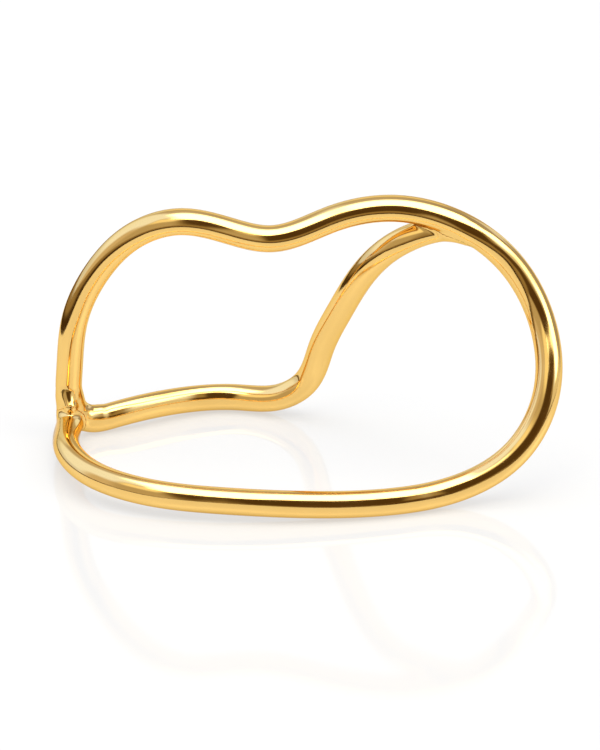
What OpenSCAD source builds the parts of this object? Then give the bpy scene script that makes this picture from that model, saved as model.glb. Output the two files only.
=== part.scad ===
// Two-finger ring of one round wire, bent and soldered to itself at two places.
// Frame: x to the right, y away from the viewer, z up. The two fingers pass through along y.
// The origin is on the surface that the ring rests on, under the middle of its box.

/* [Wire] */
// Diameter of the round wire
wire_d = 2.2; // [1.8:0.1:2.6]
// Thickness of the tail's tip, filed thin where it runs into the loop
tip_d = 1.2; // [0.8:0.1:1.6]

/* [Overall size] */
// Width over both fingers
ring_w = 41.5; // [38:0.5:46]
// Depth from the front wire to the back wire
ring_d = 22.9; // [20:0.1:26]
// Height from the surface to the top of the right hump
ring_h = 23; // [21:0.5:26]

/* [Solder] */
// Thickness of the solder web in the angle between two wires, at its thick end
web_d = 1.8; // [1:0.1:2]
// Thickness of the web where it runs out
web_end_d = 0.6; // [0.4:0.1:0.9]

/* [Detail] */
// Flat sides round the wire
sides = 24; // [16:4:28]
// Rings from one bend of the wire to the next
steps = 5; // [4:1:6]

/* [Hidden] */
gold = [0.93, 0.72, 0.34];

// Bends of the wire in the order it is bent, as the centre of the wire in mm
//   x right, y away, z up
front = [
    [-19.6, 19.6,  1.6], // foot, against the corner
    [-19.9, 16.2,  1.6],
    [-19.3, 11.7,  2.0],
    [-17.2,  7.9,  2.1],
    [-12.8,  5.4,  1.8],
    [ -7.0,  4.3,  1.6],
    [  0.0,  4.2,  1.3],
    [  7.0,  5.2,  1.1], // lowest point of the front wire
    [ 12.6,  6.8,  1.7],
    [ 16.7,  7.8,  4.1],
    [ 19.2,  9.7,  8.4], // right side
    [ 19.1, 12.8, 12.8],
    [ 16.9, 14.7, 17.1],
    [ 12.8, 15.4, 20.6], // top of the right side, where the tail joins
];
crown = [
    [  7.2, 16.4, 21.9], // right hump
    [  1.9, 16.3, 21.0],
    [ -2.9, 15.8, 19.5], // dip between the fingers
    [ -6.4, 16.5, 19.9],
    [-10.2, 17.2, 20.4], // left hump
    [-14.0, 18.0, 18.9],
    [-17.0, 18.7, 15.6],
    [-19.1, 19.1, 11.0], // left side
    [-19.7, 19.6,  6.0],
];
back = [
    [-19.5, 19.9,  2.7],
    [-18.4, 20.3,  1.3], // corner on the surface
    [-16.2, 21.1,  1.2],
    [-11.6, 23.4,  1.3],
    [ -6.0, 24.8,  1.1], // back wire
    [ -2.6, 23.9,  1.5],
    [ -0.3, 23.2,  3.1], // bend up between the fingers
    [  1.1, 22.0,  6.9],
    [  2.6, 20.1, 11.1],
    [  4.5, 18.2, 15.3],
    [  7.4, 16.8, 18.7],
    [ 10.8, 16.4, 20.0],
    [ 13.8, 15.4, 19.9], // tip of the tail, inside the loop
];
bends = concat(front, crown, back);
last = len(bends) - 1;

// Bend numbers of the corner on the surface and of the top of the right side
corner = len(front) + len(crown) + 1;
top = len(front) - 1;
// Where the solder lies: foot and back wire at the corner, tail and loop at the top
foot_side = [0.1, 0.6];
corner_side = [corner + 0.2, corner + 0.9];
tail_side = [last - 1, last - 1.8];
loop_side = [top + 0.1, top + 0.75];
web_parts = 4;
web_sides = 16;

// Bend at which the wire is divided in two, so that neither length meets itself
divide = top + 5;
// Number of the last bends over which the tail thins to its tip
tail_bends = 2;

// A smooth curve through the bends: a cubic for each stretch, with no jump in slope or curvature.
// stretch_l is the length of each stretch, and slope its mean direction.
stretch_l = [for (i = [0:last - 1]) norm(bends[i + 1] - bends[i])];
slope = [for (i = [0:last - 1]) (bends[i + 1] - bends[i]) / stretch_l[i]];

// The second derivative at each bend solves a row of equations, one for each inner bend.
// forward() takes the bend before out of each row, and backward() then solves from the last one.
function forward(i = 1, rows = [[0, [0, 0, 0]]]) =
    i == last ? rows :
    let (
        lead = stretch_l[i - 1],
        pivot = 2 * (lead + stretch_l[i]) - lead * rows[i - 1][0],
        rest = 6 * (slope[i] - slope[i - 1]) - lead * rows[i - 1][1]
    )
    forward(i + 1, concat(rows, [[stretch_l[i] / pivot, rest / pivot]]));
rows = forward();
function backward(i, next) =
    i == 0 ? [[0, 0, 0]] :
    let (bow = rows[i][1] - rows[i][0] * next)
    concat(backward(i - 1, bow), [bow]);
bow = concat(backward(last - 1, [0, 0, 0]), [[0, 0, 0]]);

// Point of the curve at a bend number, which may lie between two bends
function along(u) =
    let (
        i = min(floor(u), last - 1),
        t = (u - i) * stretch_l[i],
        left = stretch_l[i] - t
    )
    (bow[i] * pow(left, 3) + bow[i + 1] * pow(t, 3)) / (6 * stretch_l[i])
    + (bends[i] / stretch_l[i] - bow[i] * stretch_l[i] / 6) * left
    + (bends[i + 1] / stretch_l[i] - bow[i + 1] * stretch_l[i] / 6) * t;

// The curve is stretched to the overall size, stood on the surface and centred over the origin
raw = [for (k = [0:last * steps]) along(k / steps)];
low = [for (axis = [0:2]) min([for (p = raw) p[axis]])];
high = [for (axis = [0:2]) max([for (p = raw) p[axis]])];
grow = [
    (ring_w - wire_d) / (high.x - low.x),
    (ring_d - wire_d) / (high.y - low.y),
    (ring_h - wire_d) / (high.z - low.z),
];
function placed(p) = [
    (p.x - (low.x + high.x) / 2) * grow.x,
    (p.y - (low.y + high.y) / 2) * grow.y,
    (p.z - low.z) * grow.z + wire_d / 2,
];
centres = [for (p = raw) placed(p)];
last_ring = len(centres) - 1;

function unit(v) = v / norm(v);
function heading(i) = unit(centres[min(i + 1, last_ring)] - centres[max(i - 1, 0)]);
// Sideways direction of each ring, turned as little as possible from the one before
function sideways(i = 0, before = [0, 0, 1]) =
    let (
        ahead = heading(i),
        side = unit(before - (before * ahead) * ahead)
    )
    i == last_ring ? [side] : concat([side], sideways(i + 1, side));
side_of = sideways();

// Radius of each ring: round wire, thinning over the tail
tail_start = last_ring - tail_bends * steps;
function ring_r(i) =
    i <= tail_start ? wire_d / 2 :
    wire_d / 2 + (tip_d - wire_d) / 2 * pow((i - tail_start) / (last_ring - tail_start), 2);
function ring_points(i) =
    let (
        a = side_of[i],
        b = cross(heading(i), a)
    )
    [for (s = [0:sides - 1])
        centres[i] + ring_r(i) * (cos(360 * s / sides) * a + sin(360 * s / sides) * b)];

// Closed length of wire from one ring to another
module length_of_wire(from, to) {
    rings = to - from;
    skin = [for (i = [from:to]) each ring_points(i)];
    start_cap = [for (s = [0:sides - 1]) s];
    end_cap = [for (s = [sides - 1:-1:0]) rings * sides + s];
    walls = [for (i = [0:rings - 1], s = [0:sides - 1])
        let (
            next = (s + 1) % sides,
            here = i * sides,
            there = here + sides
        )
        each [
            [here + s, there + s, there + next],
            [here + s, there + next, here + next],
        ]];
    polyhedron(points = skin, faces = concat([start_cap, end_cap], walls), convexity = 6);
}

// Solder in the angle between two stretches of wire, as a web from one to the other.
// Each side is given as two bend numbers: where the web is thick, and where it runs out.
module solder(one_side, other_side) {
    for (k = [0:web_parts - 1])
        hull() for (share = [k, k + 1] / web_parts, side = [one_side, other_side])
            translate(placed(along(side[0] + (side[1] - side[0]) * share)))
                sphere(d = web_d + (web_end_d - web_d) * share, $fn = web_sides);
}

module ring() color(gold) union() {
    length_of_wire(0, divide * steps);
    length_of_wire(divide * steps, last_ring);
    translate(centres[0]) sphere(d = wire_d, $fn = sides);
    solder(foot_side, corner_side);
    solder(tail_side, loop_side);
}

ring();
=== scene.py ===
"""Two-finger ring of one bent round wire, polished gold, on a white studio floor."""
import math
from itertools import product

import bmesh
import bpy
import numpy as np
from bpy.props import FloatProperty, FloatVectorProperty, IntProperty, PointerProperty
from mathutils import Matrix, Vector


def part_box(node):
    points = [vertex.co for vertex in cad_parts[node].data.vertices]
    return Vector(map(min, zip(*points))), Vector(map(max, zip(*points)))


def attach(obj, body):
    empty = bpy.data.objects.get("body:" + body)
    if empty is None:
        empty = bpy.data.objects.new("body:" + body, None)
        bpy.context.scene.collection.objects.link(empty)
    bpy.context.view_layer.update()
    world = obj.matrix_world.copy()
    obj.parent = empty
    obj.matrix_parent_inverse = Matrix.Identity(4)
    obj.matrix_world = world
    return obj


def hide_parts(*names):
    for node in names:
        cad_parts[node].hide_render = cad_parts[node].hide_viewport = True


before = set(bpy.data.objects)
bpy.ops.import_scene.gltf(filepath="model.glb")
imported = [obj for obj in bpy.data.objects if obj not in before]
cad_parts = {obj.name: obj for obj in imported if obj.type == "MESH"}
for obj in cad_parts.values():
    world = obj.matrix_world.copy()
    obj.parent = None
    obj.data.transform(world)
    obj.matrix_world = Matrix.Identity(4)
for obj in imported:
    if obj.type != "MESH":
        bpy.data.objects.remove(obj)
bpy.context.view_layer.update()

bl_info = {
    "name": "Bent Wire Ring",
    "version": (1, 0, 0),
    "blender": (4, 5, 0),
    "location": "View3D > Sidebar > Wire Ring",
    "description": "Makes a polished two-finger ring of bent and soldered round wire",
    "category": "Add Mesh",
}

MM = 0.001
RING_LOW, RING_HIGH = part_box("ring")

# Bends of the wire in the order it is bent, as the centre of the wire in mm
#   x right, y away, z up
FRONT = [
    (-19.6, 19.6, 1.6),  # foot, against the corner
    (-19.9, 16.2, 1.6),
    (-19.3, 11.7, 2.0),
    (-17.2, 7.9, 2.1),
    (-12.8, 5.4, 1.8),
    (-7.0, 4.3, 1.6),
    (0.0, 4.2, 1.3),
    (7.0, 5.2, 1.1),  # lowest point of the front wire
    (12.6, 6.8, 1.7),
    (16.7, 7.8, 4.1),
    (19.2, 9.7, 8.4),  # right side
    (19.1, 12.8, 12.8),
    (16.9, 14.7, 17.1),
    (12.8, 15.4, 20.6),  # top of the right side, where the tail joins
]
CROWN = [
    (7.2, 16.4, 21.9),  # right hump
    (1.9, 16.3, 21.0),
    (-2.9, 15.8, 19.5),  # dip between the fingers
    (-6.4, 16.5, 19.9),
    (-10.2, 17.2, 20.4),  # left hump
    (-14.0, 18.0, 18.9),
    (-17.0, 18.7, 15.6),
    (-19.1, 19.1, 11.0),  # left side
    (-19.7, 19.6, 6.0),
]
BACK = [
    (-19.5, 19.9, 2.7),
    (-18.4, 20.3, 1.3),  # corner on the surface
    (-16.2, 21.1, 1.2),
    (-11.6, 23.4, 1.3),
    (-6.0, 24.8, 1.1),  # back wire
    (-2.6, 23.9, 1.5),
    (-0.3, 23.2, 3.1),  # bend up between the fingers
    (1.1, 22.0, 6.9),
    (2.6, 20.1, 11.1),
    (4.5, 18.2, 15.3),
    (7.4, 16.8, 18.7),
    (10.8, 16.4, 20.0),
    (13.8, 15.4, 19.9),  # tip of the tail, inside the loop
]
BENDS = FRONT + CROWN + BACK
# Number of the last bends over which the tail thins to its tip
TAIL_BENDS = 2

# Soldered joints. ends is the length of wire that ends there: the bend number of its end, and of where
# it leaves the joint. through is the length that runs through: where it comes in and where it leaves.
# Solder fills the angle between them a little way, and further in drops, each drawn out between two
# places in mm and given by its radius.
JOINTS = {
    "corner": {
        "ends": (0.0, 1.3),
        "through": (21.9, 25.4),
        "drops": [
            ((-19.6, 4.5, 4.15), (-19.35, 3.75, 3.35), 0.5),  # blob over the foot
            ((-19.45, 5.0, 3.4), (-19.5, 4.8, 2.4), 1.0),  # at the left, behind the end of the foot
            ((-18.7, 5.4, 1.65), (-17.3, 6.1, 1.35), 0.8),  # inside the corner
        ],
    },
    "top": {
        "ends": (35.0, 32.7),
        "through": (12.2, 14.6),
        "drops": [((11.6, 1.3, 20.15), (13.0, 1.0, 19.95), 0.7)],  # in the angle under the loop
    },
}


class Wire:
    """Centre line of the wire: a smooth curve through its bends, in metres.

    A place along it is given by its travel, which is the straight way from bend to bend in mm.
    """

    # Number of places along the wire where its box is measured, and where its turning is followed
    box_places = 2000
    turn_places = 1500
    # The search for the closest place starts from places about this far apart in mm, and takes some steps
    search_gap = 0.7
    search_steps = 5
    # In a tight bend a step divides by no less than this share of what a straight wire would give
    least_share = 0.3
    # Points searched for at a time, which keeps the memory small
    batch = 20000

    def __init__(self, bends, diameter, tip, low, high):
        bends = np.array(bends)
        self.thick = diameter / 2
        self.thin = tip / 2
        span = np.linalg.norm(np.diff(bends, axis=0), axis=1)[:, None]
        slope = np.diff(bends, axis=0) / span
        self.knots = np.concatenate([[0.0], np.cumsum(span)])
        # The bow at each inner bend solves a row of equations, and there is none at both ends
        rows = np.diag(2 * (span[:-1, 0] + span[1:, 0]))
        rows += np.diag(span[1:-1, 0], 1) + np.diag(span[1:-1, 0], -1)
        bow = np.zeros_like(bends)
        bow[1:-1] = np.linalg.solve(rows, 6 * np.diff(slope, axis=0))
        # From bend to bend it is a cubic in the travel
        start = slope - span * (2 * bow[:-1] + bow[1:]) / 6
        self.cubic = [bends[:-1], start, bow[:-1] / 2, np.diff(bow, axis=0) / span / 6]
        self.fit(np.array(low), np.array(high))

    def fit(self, low, high):
        """Stretches the curve so that the wire's skin fills the box from low to high."""
        line = self.at(np.linspace(0, self.knots[-1], self.box_places))[0]
        least, most = line.min(0), line.max(0)
        grow = (high - low - 2 * self.thick) / (most - least)
        self.cubic = [part * grow for part in self.cubic]
        self.cubic[0] = self.cubic[0] - least * grow + low + self.thick

    def travel(self, bend):
        """Travel at a bend number, which may lie between two bends."""
        return np.interp(bend, np.arange(len(self.knots)), self.knots)

    def at(self, travel):
        """Place of the centre line at each travel, with its first and second derivatives."""
        part = np.clip(np.searchsorted(self.knots, travel, side="right") - 1, 0, len(self.knots) - 2)
        t = (travel - self.knots[part])[:, None]
        a, b, c, d = (k[part] for k in self.cubic)
        return a + t * (b + t * (c + t * d)), b + t * (2 * c + 3 * t * d), 2 * c + 6 * t * d

    def radius(self, travel):
        """Radius at each travel: round wire, thinning over the tail."""
        tail = self.knots[-1 - TAIL_BENDS]
        share = np.clip((travel - tail) / (self.knots[-1] - tail), 0, 1)
        return self.thick + (self.thin - self.thick) * share ** 2

    def unbend(self, points):
        """Where each point would be if the wire were bent straight along z, in metres."""
        steps = np.linspace(0, self.knots[-1], self.turn_places)
        line, slope, _ = self.at(steps)
        ahead = slope / np.linalg.norm(slope, axis=1)[:, None]
        # A side of the wire, carried along it without a twist
        side = np.empty_like(ahead)
        last = np.array([0.0, 0.0, 1.0])
        for number, way in enumerate(ahead):
            last = last - way * (last @ way)
            last /= np.linalg.norm(last)
            side[number] = last
        run = np.concatenate([[0.0], np.cumsum(np.linalg.norm(np.diff(line, axis=0), axis=1))])
        travel = self.closest(points, 0, self.knots[-1])
        off = points - self.at(travel)[0]
        here = np.stack([np.interp(travel, steps, side[:, k]) for k in range(3)], 1)
        way = np.stack([np.interp(travel, steps, ahead[:, k]) for k in range(3)], 1)
        across = np.cross(way, here)
        return np.stack([(off * here).sum(1), (off * across).sum(1), np.interp(travel, steps, run)], 1)

    def closest(self, points, first, last):
        """Travel of the closest place to each point, between two travels."""
        tries = np.linspace(first, last, max(3, round((last - first) / self.search_gap)))
        line = self.at(tries)[0]
        travel = np.empty(len(points))
        for start in range(0, len(points), self.batch):
            part = slice(start, start + self.batch)
            travel[part] = tries[((points[part, None] - line) ** 2).sum(2).argmin(1)]
        for _ in range(self.search_steps):
            place, slope, bow = self.at(travel)
            off = points - place
            steep = (slope ** 2).sum(1)
            curved = np.maximum(steep - (off * bow).sum(1), self.least_share * steep)
            travel = np.clip(travel + (off * slope).sum(1) / curved, first, last)
        return travel

    def skin(self, points, first, last):
        """Height of each point over the wire's skin between two travels, and the way straight out."""
        travel = self.closest(points, first, last)
        off = points - self.at(travel)[0]
        away = np.linalg.norm(off, axis=1)
        return away - self.radius(travel), off / np.maximum(away, 1e-12)[:, None]


class Joint:
    """Two lengths of the wire with solder in the angle between them."""

    # How far past its cuts a joint is made before it is trimmed, in mm of travel
    spare = 1.0
    # Number of places along each length where the joint's box is measured
    box_places = 100
    # In wire radii: the room for the skin in that box, how far round a cut the faces are trimmed, and how
    # far from it both rims of the gap lie
    room = 1.4
    trim_reach = 2.4
    rim_reach = 1.3

    def __init__(self, wire, ends, through, drops, reach):
        self.wire, self.reach = wire, reach
        self.drops = [(np.array(a) * MM, np.array(b) * MM, radius * MM) for a, b, radius in drops]
        end, leave = wire.travel(ends)
        come, go = wire.travel(through)
        way = 1 if leave > end else -1
        self.one = sorted((end, leave + way * self.spare))
        self.other = (come - self.spare, go + self.spare)
        # Travel of each cut, and which way the rest of the wire goes on from it
        self.cuts = [(leave, way), (come, -1), (go, 1)]

    def filled(self, one, other):
        """Two skins as one, with the angle between them filled with solder."""
        share = np.clip(0.5 + 0.5 * (other[0] - one[0]) / self.reach, 0, 1)
        height = other[0] + (one[0] - other[0]) * share - self.reach * share * (1 - share)
        return height, other[1] + (one[1] - other[1]) * share[:, None]

    def skin(self, points):
        """Height of each point over the soldered skin, and the way straight out of it."""
        whole = self.filled(self.wire.skin(points, *self.one), self.wire.skin(points, *self.other))
        for start, end, radius in self.drops:
            way = end - start
            along = np.clip((points - start) @ way / (way @ way), 0, 1)
            off = points - start - along[:, None] * way
            away = np.maximum(np.linalg.norm(off, axis=1), 1e-12)
            whole = self.filled(whole, (away - radius, off / away[:, None]))
        return whole

    def box(self):
        """Box around both lengths, with room for the skin."""
        places = np.concatenate([np.linspace(*part, self.box_places) for part in (self.one, self.other)])
        line = self.wire.at(places)[0]
        room = self.wire.thick * self.room
        return line.min(0) - room, line.max(0) + room


def onto(skin, points, rounds=3):
    """Moves points straight onto a skin."""
    for _ in range(rounds):
        height, out = skin(points)
        points = points - out * (height / (out ** 2).sum(1))[:, None]
    return points


def net_over(skin, low, high, cell, rounds=8):
    """Even four-sided net over a skin in a box: a corner in each cell that it crosses, moved onto it.

    In each round the corners are evened out between their neighbours and moved back onto the skin.
    """
    axes = [np.arange(a, b, cell) for a, b in zip(low, high)]
    grid = np.stack(np.meshgrid(*axes, indexing="ij"), -1)
    shape = grid.shape[:3]
    inside = (skin(grid.reshape(-1, 3))[0] < 0).reshape(shape)
    cells = [slice(0, -1), slice(1, None)]
    count = sum(inside[i, j, k].astype(int) for i, j, k in product(cells, repeat=3))
    crossed = (count > 0) & (count < 8)
    number = np.full(crossed.shape, -1)
    number[crossed] = np.arange(crossed.sum())
    corners = grid[:-1, :-1, :-1][crossed] + cell / 2
    faces = []
    for axis in range(3):
        ahead = np.diff(inside.astype(int), axis=axis)
        edges = np.argwhere(ahead)
        across, up = (axis + 1) % 3, (axis + 2) % 3
        # The four cells round an edge, anticlockwise as seen from its far end
        quad = []
        for back in ((0, 0), (1, 0), (1, 1), (0, 1)):
            index = edges.copy()
            index[:, across] -= back[0]
            index[:, up] -= back[1]
            quad.append(number[tuple(index.T)])
        quad = np.stack(quad, 1)
        turned = ahead[tuple(edges.T)] > 0
        quad[turned] = quad[turned][:, ::-1]
        faces.append(quad)
    faces = np.concatenate(faces)
    sides = np.concatenate([faces[:, [k, (k + 1) % 4]] for k in range(4)])
    sides = np.concatenate([sides, sides[:, ::-1]])
    beside = np.bincount(sides[:, 0], minlength=len(corners))[:, None]
    for _ in range(rounds):
        total = [np.bincount(sides[:, 0], weights=corners[sides[:, 1], k]) for k in range(3)]
        corners = onto(skin, np.stack(total, 1) / beside)
    return corners, faces


def add(tree, kind, inputs=(), **settings):
    """New node with its settings, and its inputs set to a value or linked from another node's output."""
    made = tree.nodes.new(kind)
    for name, value in settings.items():
        setattr(made, name, value)
    for name, value in dict(inputs).items():
        if isinstance(value, bpy.types.NodeSocket):
            tree.links.new(value, made.inputs[name])
        else:
            made.inputs[name].default_value = value
    return made


def new_group(name, kind, inputs, outputs):
    """New node group with named sockets, as the tree and its input and output nodes."""
    tree = bpy.data.node_groups.new(name, kind)
    for way, sockets in (("INPUT", inputs), ("OUTPUT", outputs)):
        for label, socket in sockets.items():
            tree.interface.new_socket(label, in_out=way, socket_type=f"NodeSocket{socket}")
    return tree, tree.nodes.new("NodeGroupInput").outputs, tree.nodes.new("NodeGroupOutput").inputs


def wire_tree():
    """Geometry Nodes that sweep a round wire along the edges of a mesh."""
    tree, given, result = new_group(
        "Round wire along a path",
        "GeometryNodeTree",
        {"Path": "Geometry", "Wire Diameter": "Float", "Sides": "Int", "Finish": "Material"},
        {"Wire": "Geometry"},
    )
    half = add(tree, "ShaderNodeMath", {0: given["Wire Diameter"], 1: 0.5}, operation="MULTIPLY")
    path = add(tree, "GeometryNodeMeshToCurve", {"Mesh": given["Path"]})
    circle = add(
        tree,
        "GeometryNodeCurvePrimitiveCircle",
        {"Resolution": given["Sides"], "Radius": half.outputs[0]},
    )
    sweep = add(
        tree,
        "GeometryNodeCurveToMesh",
        {"Curve": path.outputs["Curve"], "Profile Curve": circle.outputs["Curve"]},
    )
    real = add(tree, "GeometryNodeRealizeInstances", {"Geometry": sweep.outputs["Mesh"]})
    coat = add(
        tree,
        "GeometryNodeSetMaterial",
        {"Geometry": real.outputs["Geometry"], "Material": given["Finish"]},
    )
    tree.links.new(coat.outputs["Geometry"], result["Wire"])
    return tree


def swept(paths, settings):
    """Mesh of the wire along some open paths, made by the Geometry Nodes."""
    mesh = bpy.data.meshes.new("wire path")
    corners = np.concatenate(paths)
    starts = np.cumsum([0] + [len(path) for path in paths])
    edges = [(k, k + 1) for a, b in zip(starts, starts[1:]) for k in range(a, b - 1)]
    mesh.from_pydata(corners.tolist(), edges, [])
    holder = bpy.data.objects.new("wire path", mesh)
    bpy.context.scene.collection.objects.link(holder)
    modifier = holder.modifiers.new("Round wire", "NODES")
    modifier.node_group = wire_tree()
    for item in modifier.node_group.interface.items_tree:
        if item.in_out == "INPUT" and item.name in settings:
            modifier[item.identifier] = settings[item.name]
    seen = holder.evaluated_get(bpy.context.evaluated_depsgraph_get())
    result = bpy.data.meshes.new_from_object(seen)
    holder.modifiers.remove(modifier)
    bpy.data.objects.remove(holder)
    bpy.data.meshes.remove(mesh)
    return result


def trim(form, joint):
    """Cuts the spare ends off a joint's net, square to the wire."""
    # Only the faces round each cut are taken, as its plane meets the joint elsewhere too
    size = joint.trim_reach * joint.wire.thick
    for travel, way in joint.cuts:
        place, slope, _ = joint.wire.at(np.array([travel]))
        place, ahead = Vector(place[0]), Vector(slope[0] * way)
        near = [face for face in form.faces if (face.calc_center_median() - place).length < size]
        # Each once and in a set order, so that every run gives the same mesh
        edges = dict.fromkeys(edge for face in near for edge in face.edges)
        corners = dict.fromkeys(corner for face in near for corner in face.verts)
        bmesh.ops.bisect_plane(
            form, geom=[*near, *edges, *corners], dist=1e-9, plane_co=place, plane_no=ahead, clear_outer=True
        )


def bridge(form, joints):
    """Closes the gap between each cut of a joint and the end of the wire that goes on from it."""
    for joint in joints:
        for travel, _ in joint.cuts:
            place = Vector(joint.wire.at(np.array([travel]))[0][0])
            rim = [
                edge
                for edge in form.edges
                if edge.is_boundary and (edge.verts[0].co - place).length < joint.rim_reach * joint.wire.thick
            ]
            bmesh.ops.bridge_loops(form, edges=rim)


def make_ring_mesh(sizes, finish):
    """The whole ring as one closed mesh, with its exact normals."""
    wire = Wire(BENDS, sizes.wire_d, sizes.tip_d, RING_LOW, RING_LOW + Vector(sizes.size))
    reach = {"corner": sizes.corner_solder, "top": sizes.top_solder}
    joints = [Joint(wire, *places.values(), reach[name]) for name, places in JOINTS.items()]
    cuts = sorted(travel for joint in joints for travel, _ in joint.cuts)
    gap = sizes.ring_step / MM / 2
    paths = []
    for start, end in zip(cuts[::2], cuts[1::2]):
        number = round((end - start) * MM / sizes.ring_step)
        paths.append(wire.at(np.linspace(start + gap, end - gap, number))[0])
    mesh = swept(paths, {"Wire Diameter": sizes.wire_d, "Sides": sizes.sides, "Finish": finish})
    form = bmesh.new()
    form.from_mesh(mesh)
    bmesh.ops.recalc_face_normals(form, faces=form.faces)
    for joint in joints:
        corners, faces = net_over(joint.skin, *joint.box(), sizes.joint_cell)
        part = bpy.data.meshes.new("joint")
        part.from_pydata(corners.tolist(), [], faces.tolist())
        piece = bmesh.new()
        piece.from_mesh(part)
        trim(piece, joint)
        piece.to_mesh(part)
        piece.free()
        form.from_mesh(part)
        bpy.data.meshes.remove(part)
    bridge(form, joints)
    bmesh.ops.recalc_face_normals(form, faces=form.faces)
    loose = [edge for edge in form.edges if not edge.is_manifold]
    if loose:
        raise RuntimeError(f"the ring's mesh has {len(loose)} open edges")
    form.to_mesh(mesh)
    form.free()
    mesh.polygons.foreach_set("use_smooth", [True] * len(mesh.polygons))
    places = np.array([corner.co for corner in mesh.vertices])
    height, out = wire.skin(places, 0, wire.knots[-1])
    for joint in joints:
        near = joint.skin(places)
        closer = near[0] < height
        height[closer], out[closer] = near[0][closer], near[1][closer]
    mesh.normals_split_custom_set_from_vertices(out / np.linalg.norm(out, axis=1)[:, None])
    straight = mesh.attributes.new("unbent", "FLOAT_VECTOR", "POINT")
    straight.data.foreach_set("vector", wire.unbend(places).astype(np.float32).ravel())
    return mesh


# Scale of the polishing waves and of the fine marks along the wire, against across it
WAVES_ALONG = 0.5
MARKS_ALONG = 0.04


def polish_group():
    """Shader group with what bending and polishing leave on wire: sway, waves, marks, a cloudy shine."""
    tree, given, result = new_group(
        "Hand polish",
        "ShaderNodeTree",
        {"Place": "Vector", "Sway Length": "Float", "Sway Height": "Float", "Wave Length": "Float",
         "Wave Height": "Float", "Mark Width": "Float", "Mark Share": "Float",
         "Least Roughness": "Float", "Most Roughness": "Float"},
        {"Height": "Float", "Roughness": "Float", "Cloud": "Float"},
    )

    def noise(place, length, detail):
        scale = add(tree, "ShaderNodeMath", {0: 1.0, 1: length}, operation="DIVIDE")
        return add(
            tree, "ShaderNodeTexNoise", {"Vector": place, "Scale": scale.outputs[0], "Detail": detail}
        ).outputs["Fac"]

    # Waves and marks are drawn out along the wire
    drawn = [
        add(tree, "ShaderNodeVectorMath", {0: given["Place"], 1: (1.0, 1.0, share)}, operation="MULTIPLY")
        for share in (WAVES_ALONG, MARKS_ALONG)
    ]
    waves = noise(drawn[0].outputs[0], given["Wave Length"], 1.0)
    marks = noise(drawn[1].outputs[0], given["Mark Width"], 3.0)
    cloud = noise(given["Place"], given["Wave Length"], 4.0)
    sway = noise(given["Place"], given["Sway Length"], 0.0)
    rough_waves = add(
        tree, "ShaderNodeMath", {0: marks, 1: given["Mark Share"], 2: waves}, operation="MULTIPLY_ADD"
    )
    low_sway = add(tree, "ShaderNodeMath", {0: sway, 1: given["Sway Height"]}, operation="MULTIPLY")
    height = add(
        tree,
        "ShaderNodeMath",
        {0: rough_waves.outputs[0], 1: given["Wave Height"], 2: low_sway.outputs[0]},
        operation="MULTIPLY_ADD",
    )
    mixed = add(tree, "ShaderNodeMath", {0: cloud, 1: marks}, operation="MULTIPLY")
    rough = add(
        tree,
        "ShaderNodeMapRange",
        {"Value": mixed.outputs[0], "From Min": 0.15, "From Max": 0.4,
         "To Min": given["Least Roughness"], "To Max": given["Most Roughness"]},
    )
    tree.links.new(height.outputs[0], result["Height"])
    tree.links.new(rough.outputs[0], result["Roughness"])
    tree.links.new(cloud, result["Cloud"])
    return tree


def make_gold(finish):
    """Yellow gold plate over brass, polished to a mirror."""
    material = bpy.data.materials.new("gold_tone_metal")
    material.use_nodes = True
    tree = material.node_tree
    tree.nodes.clear()
    place = add(tree, "ShaderNodeAttribute", attribute_name="unbent")
    polish = add(
        tree,
        "ShaderNodeGroup",
        {
            "Place": place.outputs["Vector"],
            "Sway Length": finish.sway_length,
            "Sway Height": finish.sway_height,
            "Wave Length": finish.wave_length,
            "Wave Height": finish.wave_height,
            "Mark Width": finish.mark_width,
            "Mark Share": finish.mark_share,
            "Least Roughness": finish.roughness,
            "Most Roughness": finish.cloudy_roughness,
        },
        node_tree=polish_group(),
    )
    tint = add(
        tree,
        "ShaderNodeMix",
        {0: polish.outputs["Cloud"], 6: (*finish.colour, 1), 7: (*finish.pale_colour, 1)},
        data_type="RGBA",
    )
    bump = add(
        tree,
        "ShaderNodeBump",
        {"Height": polish.outputs["Height"], "Strength": 1.0, "Distance": 1.0},
    )
    metal = add(
        tree,
        "ShaderNodeBsdfPrincipled",
        {
            "Base Color": tint.outputs[2],
            "Metallic": 1.0,
            "Specular Tint": (*finish.edge_colour, 1),
            "Roughness": polish.outputs["Roughness"],
            "Normal": bump.outputs["Normal"],
        },
    )
    add(tree, "ShaderNodeOutputMaterial", {"Surface": metal.outputs[0]})
    return material


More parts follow.
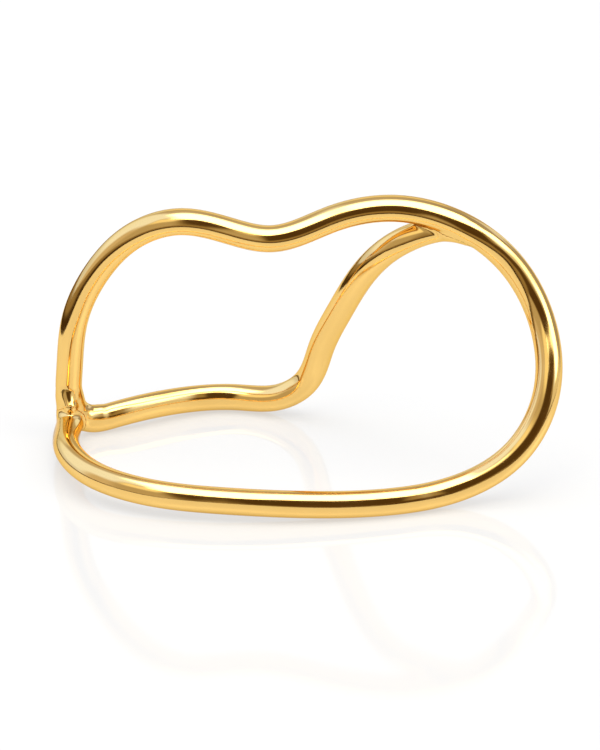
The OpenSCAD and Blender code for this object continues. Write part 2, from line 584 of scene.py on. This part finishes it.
# Cards round the studio, in degrees as seen from the ring. Azimuth 0 is towards the camera and 90 to
# the right. Later cards stand in front of earlier ones.
#   azimuth, elevation, half width, half height, soft edge, colour of the light
CARDS = {
    "left wall": (-122, 25, 50, 60, 16, (1.0, 1.22, 1.95)),
    "foot of the left wall": (-135, 1, 42, 11, 14, (0.76, 0.9, 1.45)),
    "gold room": (-72, 6, 17, 26, 14, (0.68, 0.63, 0.62)),
    "room at left": (-42, 12, 22, 42, 14, (0.53, 0.48, 0.41)),
    "right wall": (75, 2, 36, 24, 12, (0.8, 0.8, 0.82)),
    "lit right wall": (52, 38, 14, 16, 10, (0.98, 1.15, 1.7)),
    "dim room": (10, 18, 31, 38, 10, (0.36, 0.29, 0.17)),
    "dark room": (6, 28, 23, 24, 8, (0.085, 0.05, 0.018)),
    "dark corner at right": (30, 4, 12, 13, 8, (0.1, 0.06, 0.022)),
    "right card": (73, 45, 15, 22, 6, (4.3, 4.3, 4.2)),
    "back wall": (180, 30, 26, 36, 12, (0.56, 0.55, 0.64)),
    "pale back wall": (-172, 10, 14, 18, 10, (0.85, 1.0, 1.5)),
    "back corner": (128, 28, 28, 34, 8, (0.4, 0.4, 0.5)),
    "lit back corner": (136, 28, 18, 8, 8, (0.84, 0.95, 1.5)),
    "pale curtain": (148, 8, 8, 11, 6, (1.0, 1.25, 2.1)),
    "white sweep": (180, 25, 12, 6, 3, (1.05, 1.05, 1.05)),
    "left card": (-46, 42, 14, 9, 10, (1.1, 1.07, 0.92)),
    "front card": (-32, 57, 8, 7, 7, (3.5, 3.5, 3.4)),
    "overhead softbox": (10, 80, 24, 24, 9, (4.8, 4.8, 4.7)),
}


def make_world(light):
    """Studio round the ring: white for the camera, cards and dark room in the reflections."""
    world = bpy.data.worlds.new("Studio")
    bpy.context.scene.world = world
    world.use_nodes = True
    tree = world.node_tree
    tree.nodes.clear()
    direction = add(tree, "ShaderNodeTexCoord").outputs["Generated"]
    light_now = add(tree, "ShaderNodeRGB").outputs[0]
    light_now.default_value = (*light.wall_colour, 1)
    for name, (azimuth, elevation, wide, high, soft, colour) in CARDS.items():
        turned = add(
            tree,
            "ShaderNodeVectorRotate",
            {"Vector": direction, "Rotation": (-math.radians(elevation), 0, math.radians(azimuth))},
            rotation_type="EULER_XYZ",
            invert=True,
            label=name,
        )
        parts = add(tree, "ShaderNodeSeparateXYZ", {0: turned.outputs[0]}).outputs
        ahead = add(tree, "ShaderNodeMath", {0: parts["Y"], 1: -1.0}, operation="MULTIPLY")
        across = add(tree, "ShaderNodeMath", {0: parts["X"], 1: ahead.outputs[0]}, operation="ARCTAN2")
        up = add(tree, "ShaderNodeMath", {0: parts["Z"]}, operation="ARCSINE")
        masks = []
        for angle, half in ((across, wide), (up, high)):
            size = add(tree, "ShaderNodeMath", {0: angle.outputs[0]}, operation="ABSOLUTE")
            edge = add(
                tree,
                "ShaderNodeMapRange",
                {
                    "Value": size.outputs[0],
                    "From Min": math.radians(half + soft / 2),
                    "From Max": math.radians(half - soft / 2),
                },
                interpolation_type="SMOOTHSTEP",
            )
            masks.append(edge.outputs[0])
        both = add(tree, "ShaderNodeMath", {0: masks[0], 1: masks[1]}, operation="MULTIPLY")
        layer = add(
            tree, "ShaderNodeMix", {0: both.outputs[0], 6: light_now, 7: (*colour, 1)}, data_type="RGBA"
        )
        light_now = layer.outputs[2]
    seen = add(tree, "ShaderNodeLightPath").outputs["Is Camera Ray"]
    plain = add(tree, "ShaderNodeBackground", {"Color": (1, 1, 1, 1)})
    cards = add(tree, "ShaderNodeBackground", {"Color": light_now, "Strength": light.strength})
    pick = add(tree, "ShaderNodeMixShader", {0: seen, 1: cards.outputs[0], 2: plain.outputs[0]})
    add(tree, "ShaderNodeOutputWorld", {"Surface": pick.outputs[0]})


# Colour of the light that comes up through the floor, and the least and most roughness of its glaze
GLOW_COLOUR = (0.96, 0.985, 1.0, 1)
GLAZE_ROUGHNESS = (0.05, 0.08)
# Patches of more and less haze in the glaze, as the number of them in a metre
HAZE_SCALE = 18.0
# The table under the board, past its edge, glows with painted light and shade: how far its painted shadow
# reaches in metres, from the darkest place to its end, and the painted colour of the table in the shadow and
# in the light
TABLE_SHADOW = (0.02, 0.09)
TABLE_PAINTED_COLOURS = ((0.06, 0.035, 0.012, 1), (0.3, 0.23, 0.13, 1))


def make_floor(light):
    """White floor with a soft shine, which ends as a board on a table does where only the ring mirrors it."""
    half = light.floor_size / 2
    mesh = bpy.data.meshes.new("floor")
    corners = [(-half, -half, 0), (half, -half, 0), (half, half, 0), (-half, half, 0)]
    mesh.from_pydata(corners, [], [(0, 1, 2, 3)])
    floor = bpy.data.objects.new("floor", mesh)
    bpy.context.scene.collection.objects.link(floor)
    material = bpy.data.materials.new("white glazed floor")
    material.use_nodes = True
    tree = material.node_tree
    tree.nodes.clear()
    place = add(tree, "ShaderNodeTexCoord").outputs["Object"]
    haze = add(tree, "ShaderNodeTexNoise", {"Vector": place, "Scale": HAZE_SCALE, "Detail": 2.0})
    rough = add(
        tree,
        "ShaderNodeMapRange",
        {
            "Value": haze.outputs["Fac"],
            "From Min": 0.3,
            "From Max": 0.7,
            "To Min": GLAZE_ROUGHNESS[0],
            "To Max": GLAZE_ROUGHNESS[1],
        },
    )
    white = add(
        tree,
        "ShaderNodeBsdfPrincipled",
        {
            "Base Color": (*light.floor_colour, 1),
            "Roughness": 1.0,
            "Specular IOR Level": 0.0,
            "Emission Color": GLOW_COLOUR,
            "Emission Strength": light.floor_glow,
        },
    )
    # The lower the light comes, the more of it the glaze mirrors
    glaze = add(tree, "ShaderNodeBsdfAnisotropic", {"Color": (1, 1, 1, 1), "Roughness": rough.outputs[0]})
    low = add(tree, "ShaderNodeLayerWeight", {"Blend": 0.5}).outputs["Facing"]
    share = add(tree, "ShaderNodeMath", {0: low, 1: light.floor_shine}, operation="MULTIPLY")
    board = add(tree, "ShaderNodeMixShader", {0: share.outputs[0], 1: white.outputs[0], 2: glaze.outputs[0]})
    # In the reflections the board ends in front and at the left, with a painted shadow on the table past its
    # edge
    parts = add(tree, "ShaderNodeSeparateXYZ", {0: place}).outputs
    left = add(tree, "ShaderNodeMath", {0: -light.board_left, 1: parts["X"]}, operation="SUBTRACT")
    front = add(tree, "ShaderNodeMath", {0: -light.board_front, 1: parts["Y"]}, operation="SUBTRACT")
    past = add(tree, "ShaderNodeMath", {0: left.outputs[0], 1: front.outputs[0]}, operation="MAXIMUM")
    shade = add(
        tree,
        "ShaderNodeMapRange",
        {"Value": past.outputs[0], "From Min": TABLE_SHADOW[0], "From Max": TABLE_SHADOW[1]},
        interpolation_type="SMOOTHSTEP",
    )
    # Painted shade: the table's colour runs from its shaded to its lit colour away from the board's edge
    painted_table_shade = add(
        tree,
        "ShaderNodeMix",
        {0: shade.outputs[0], 6: TABLE_PAINTED_COLOURS[0], 7: TABLE_PAINTED_COLOURS[1]},
        data_type="RGBA",
    )
    # The table glows with that painted light and shade instead of being lit
    table = add(tree, "ShaderNodeEmission", {"Color": painted_table_shade.outputs[2]})
    off = add(tree, "ShaderNodeMath", {0: past.outputs[0], 1: 0.0}, operation="GREATER_THAN")
    seen = add(tree, "ShaderNodeLightPath").outputs["Is Camera Ray"]
    hidden = add(tree, "ShaderNodeMath", {0: off.outputs[0], 1: seen}, operation="SUBTRACT", use_clamp=True)
    both = add(tree, "ShaderNodeMixShader", {0: hidden.outputs[0], 1: board.outputs[0], 2: table.outputs[0]})
    add(tree, "ShaderNodeOutputMaterial", {"Surface": both.outputs[0]})
    mesh.materials.append(material)


def make_camera(view):
    """Camera in front of the ring, looking down on it."""
    camera = bpy.data.cameras.new("camera")
    camera.lens = view.lens
    camera.sensor_width = 36.0
    camera.clip_start = 0.01
    camera.clip_end = 20.0
    holder = bpy.data.objects.new("camera", camera)
    bpy.context.scene.collection.objects.link(holder)
    back = Vector((0, -math.cos(view.elevation), math.sin(view.elevation)))
    holder.location = Vector(view.aim) + back * view.distance
    holder.rotation_euler = (math.pi / 2 - view.elevation, 0, 0)
    bpy.context.scene.camera = holder


class RingSizes(bpy.types.PropertyGroup):
    """Sizes of the ring, its wire and its solder."""

    size: FloatVectorProperty(
        name="Overall Size",
        description="Width over both fingers, depth, and height as it rests",
        default=tuple(RING_HIGH - RING_LOW),
        subtype="XYZ",
        unit="LENGTH",
        precision=5,
    )
    wire_d: FloatProperty(
        name="Wire Diameter",
        description="Diameter of the round wire",
        default=2.2 * MM,
        min=0.5 * MM,
        unit="LENGTH",
        precision=5,
    )
    tip_d: FloatProperty(
        name="Tip Thickness",
        description="Thickness of the tail's tip, filed thin where it runs into the loop",
        default=1.2 * MM,
        min=0.2 * MM,
        unit="LENGTH",
        precision=5,
    )
    corner_solder: FloatProperty(
        name="Corner Solder",
        description="How far the solder fills the angles between foot, corner and drops",
        default=0.6 * MM,
        min=0.1 * MM,
        unit="LENGTH",
        precision=5,
    )
    top_solder: FloatProperty(
        name="Top Solder",
        description="How far the solder fills the angles between tail, loop and drop",
        default=0.5 * MM,
        min=0.1 * MM,
        unit="LENGTH",
        precision=5,
    )
    sides: IntProperty(name="Sides", description="Faces round the wire", default=48, min=12, max=64)
    ring_step: FloatProperty(
        name="Step",
        description="Length of the faces along the wire",
        default=0.25 * MM,
        min=0.1 * MM,
        unit="LENGTH",
        precision=5,
    )
    joint_cell: FloatProperty(
        name="Joint Step",
        description="Size of the faces at the soldered joints",
        default=0.1 * MM,
        min=0.05 * MM,
        unit="LENGTH",
        precision=5,
    )


class GoldFinish(bpy.types.PropertyGroup):
    """Colour and polish of the gold plate."""

    colour: FloatVectorProperty(
        name="Colour",
        description="Colour of the gold plate",
        default=(0.92, 0.59, 0.18),
        subtype="COLOR",
        min=0.0,
        max=1.0,
    )
    pale_colour: FloatVectorProperty(
        name="Pale Colour",
        description="Colour of the plate where it is a little paler",
        default=(0.94, 0.615, 0.2),
        subtype="COLOR",
        min=0.0,
        max=1.0,
    )
    edge_colour: FloatVectorProperty(
        name="Edge Colour",
        description="Tint of what the plate mirrors at a low angle",
        default=(0.88, 0.72, 0.45),
        subtype="COLOR",
        min=0.0,
        max=1.0,
    )
    roughness: FloatProperty(
        name="Roughness",
        description="Roughness where the polish is best",
        default=0.07,
        min=0.0,
        max=1.0,
        subtype="FACTOR",
    )
    cloudy_roughness: FloatProperty(
        name="Cloudy Roughness",
        description="Roughness where the polish is a little cloudy",
        default=0.15,
        min=0.0,
        max=1.0,
        subtype="FACTOR",
    )
    sway_length: FloatProperty(
        name="Sway Length",
        description="Length of the slow sway that hand bending leaves",
        default=8 * MM,
        min=0.1 * MM,
        unit="LENGTH",
        precision=5,
    )
    sway_height: FloatProperty(
        name="Sway Height",
        description="Height of that sway",
        default=1.2 * MM,
        min=0.0,
        unit="LENGTH",
        precision=5,
    )
    wave_length: FloatProperty(
        name="Wave Length",
        description="Length across of the low waves that a polishing wheel leaves",
        default=1.6 * MM,
        min=0.1 * MM,
        unit="LENGTH",
        precision=5,
    )
    wave_height: FloatProperty(
        name="Wave Height",
        description="Height of those waves",
        default=0.008 * MM,
        min=0.0,
        unit="LENGTH",
        precision=6,
    )
    mark_width: FloatProperty(
        name="Mark Width",
        description="Width of the fine marks along the wire",
        default=0.06 * MM,
        min=0.01 * MM,
        unit="LENGTH",
        precision=5,
    )
    mark_share: FloatProperty(
        name="Mark Share",
        description="Depth of the marks as a share of the waves' height",
        default=0.02,
        min=0.0,
        max=1.0,
        subtype="FACTOR",
    )


class StudioLook(bpy.types.PropertyGroup):
    """Floor, light and camera."""

    floor_size: FloatProperty(
        name="Floor Size", description="Width of the floor", default=4.0, min=0.2, unit="LENGTH"
    )
    floor_colour: FloatVectorProperty(
        name="Floor Colour",
        description="Colour of the floor",
        default=(0.245, 0.231, 0.208),
        subtype="COLOR",
        min=0.0,
        max=1.0,
    )
    floor_glow: FloatProperty(
        name="Floor Glow",
        description="Light that comes up through the floor",
        default=0.62,
        min=0.0,
        max=1.0,
        subtype="FACTOR",
    )
    floor_shine: FloatProperty(
        name="Floor Shine",
        description="Share of the light that the glaze would mirror if it came level",
        default=0.16,
        min=0.0,
        max=1.0,
        subtype="FACTOR",
    )
    board_left: FloatProperty(
        name="Board at Left",
        description="From the ring's middle to the left edge of the board",
        default=45 * MM,
        min=0.0,
        unit="LENGTH",
    )
    board_front: FloatProperty(
        name="Board in Front",
        description="From the ring's middle to the front edge of the board",
        default=57 * MM,
        min=0.0,
        unit="LENGTH",
    )
    wall_colour: FloatVectorProperty(
        name="Wall Colour",
        description="Light that comes from between the cards",
        default=(0.62, 0.61, 0.65),
        subtype="COLOR",
        min=0.0,
        max=2.0,
    )
    strength: FloatProperty(
        name="Light", description="Strength of all the studio light", default=1.0, min=0.0
    )
    lens: FloatProperty(
        name="Lens", description="Focal length of the camera", default=240.0, min=20.0, unit="CAMERA"
    )
    distance: FloatProperty(
        name="Distance", description="From the camera to where it looks", default=0.4, min=0.05, unit="LENGTH"
    )
    elevation: FloatProperty(
        name="Elevation",
        description="How far the camera looks down",
        default=math.radians(25.0),
        subtype="ANGLE",
        unit="ROTATION",
    )
    aim: FloatVectorProperty(
        name="Aim",
        description="Where the camera looks",
        default=(-0.42 * MM, -6.47 * MM, 11.0 * MM),
        subtype="XYZ",
        unit="LENGTH",
        precision=5,
    )


class WIRERING_OT_ring(bpy.types.Operator):
    """Bends the wire, solders it and polishes it"""

    bl_idname = "wire_ring.make_ring"
    bl_label = "Make the Ring"

    def execute(self, context):
        gold = make_gold(context.scene.gold_finish)
        mesh = make_ring_mesh(context.scene.ring_sizes, gold)
        mesh.name = "polished_ring"
        ring = bpy.data.objects.new("polished_ring", mesh)
        context.scene.collection.objects.link(ring)
        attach(ring, "root")
        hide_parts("ring")
        return {"FINISHED"}


class WIRERING_OT_stage(bpy.types.Operator):
    """Lays the floor and sets up the light and the camera"""

    bl_idname = "wire_ring.make_stage"
    bl_label = "Make the Stage"

    def execute(self, context):
        look = context.scene.studio_look
        make_floor(look)
        make_world(look)
        make_camera(look)
        context.scene.view_settings.view_transform = "Standard"
        return {"FINISHED"}


class WIRERING_PT_panel(bpy.types.Panel):
    """Sizes and colours of the ring, and the buttons that make it"""

    bl_idname = "WIRERING_PT_panel"
    bl_label = "Wire Ring"
    bl_space_type = "VIEW_3D"
    bl_region_type = "UI"
    bl_category = "Wire Ring"

    def draw(self, context):
        for group in ("ring_sizes", "gold_finish", "studio_look"):
            held = getattr(context.scene, group)
            column = self.layout.column()
            for name in held.__annotations__:
                column.prop(held, name)
        self.layout.operator("wire_ring.make_ring")
        self.layout.operator("wire_ring.make_stage")


GROUPS = {"ring_sizes": RingSizes, "gold_finish": GoldFinish, "studio_look": StudioLook}
CLASSES = [*GROUPS.values(), WIRERING_OT_ring, WIRERING_OT_stage, WIRERING_PT_panel]


def register():
    for kind in CLASSES:
        bpy.utils.register_class(kind)
    for name, kind in GROUPS.items():
        setattr(bpy.types.Scene, name, PointerProperty(type=kind))


def unregister():
    for name in GROUPS:
        delattr(bpy.types.Scene, name)
    for kind in reversed(CLASSES):
        bpy.utils.unregister_class(kind)


def main():
    register()
    bpy.ops.wire_ring.make_ring()
    bpy.ops.wire_ring.make_stage()


if __name__ == "__main__":
    main()
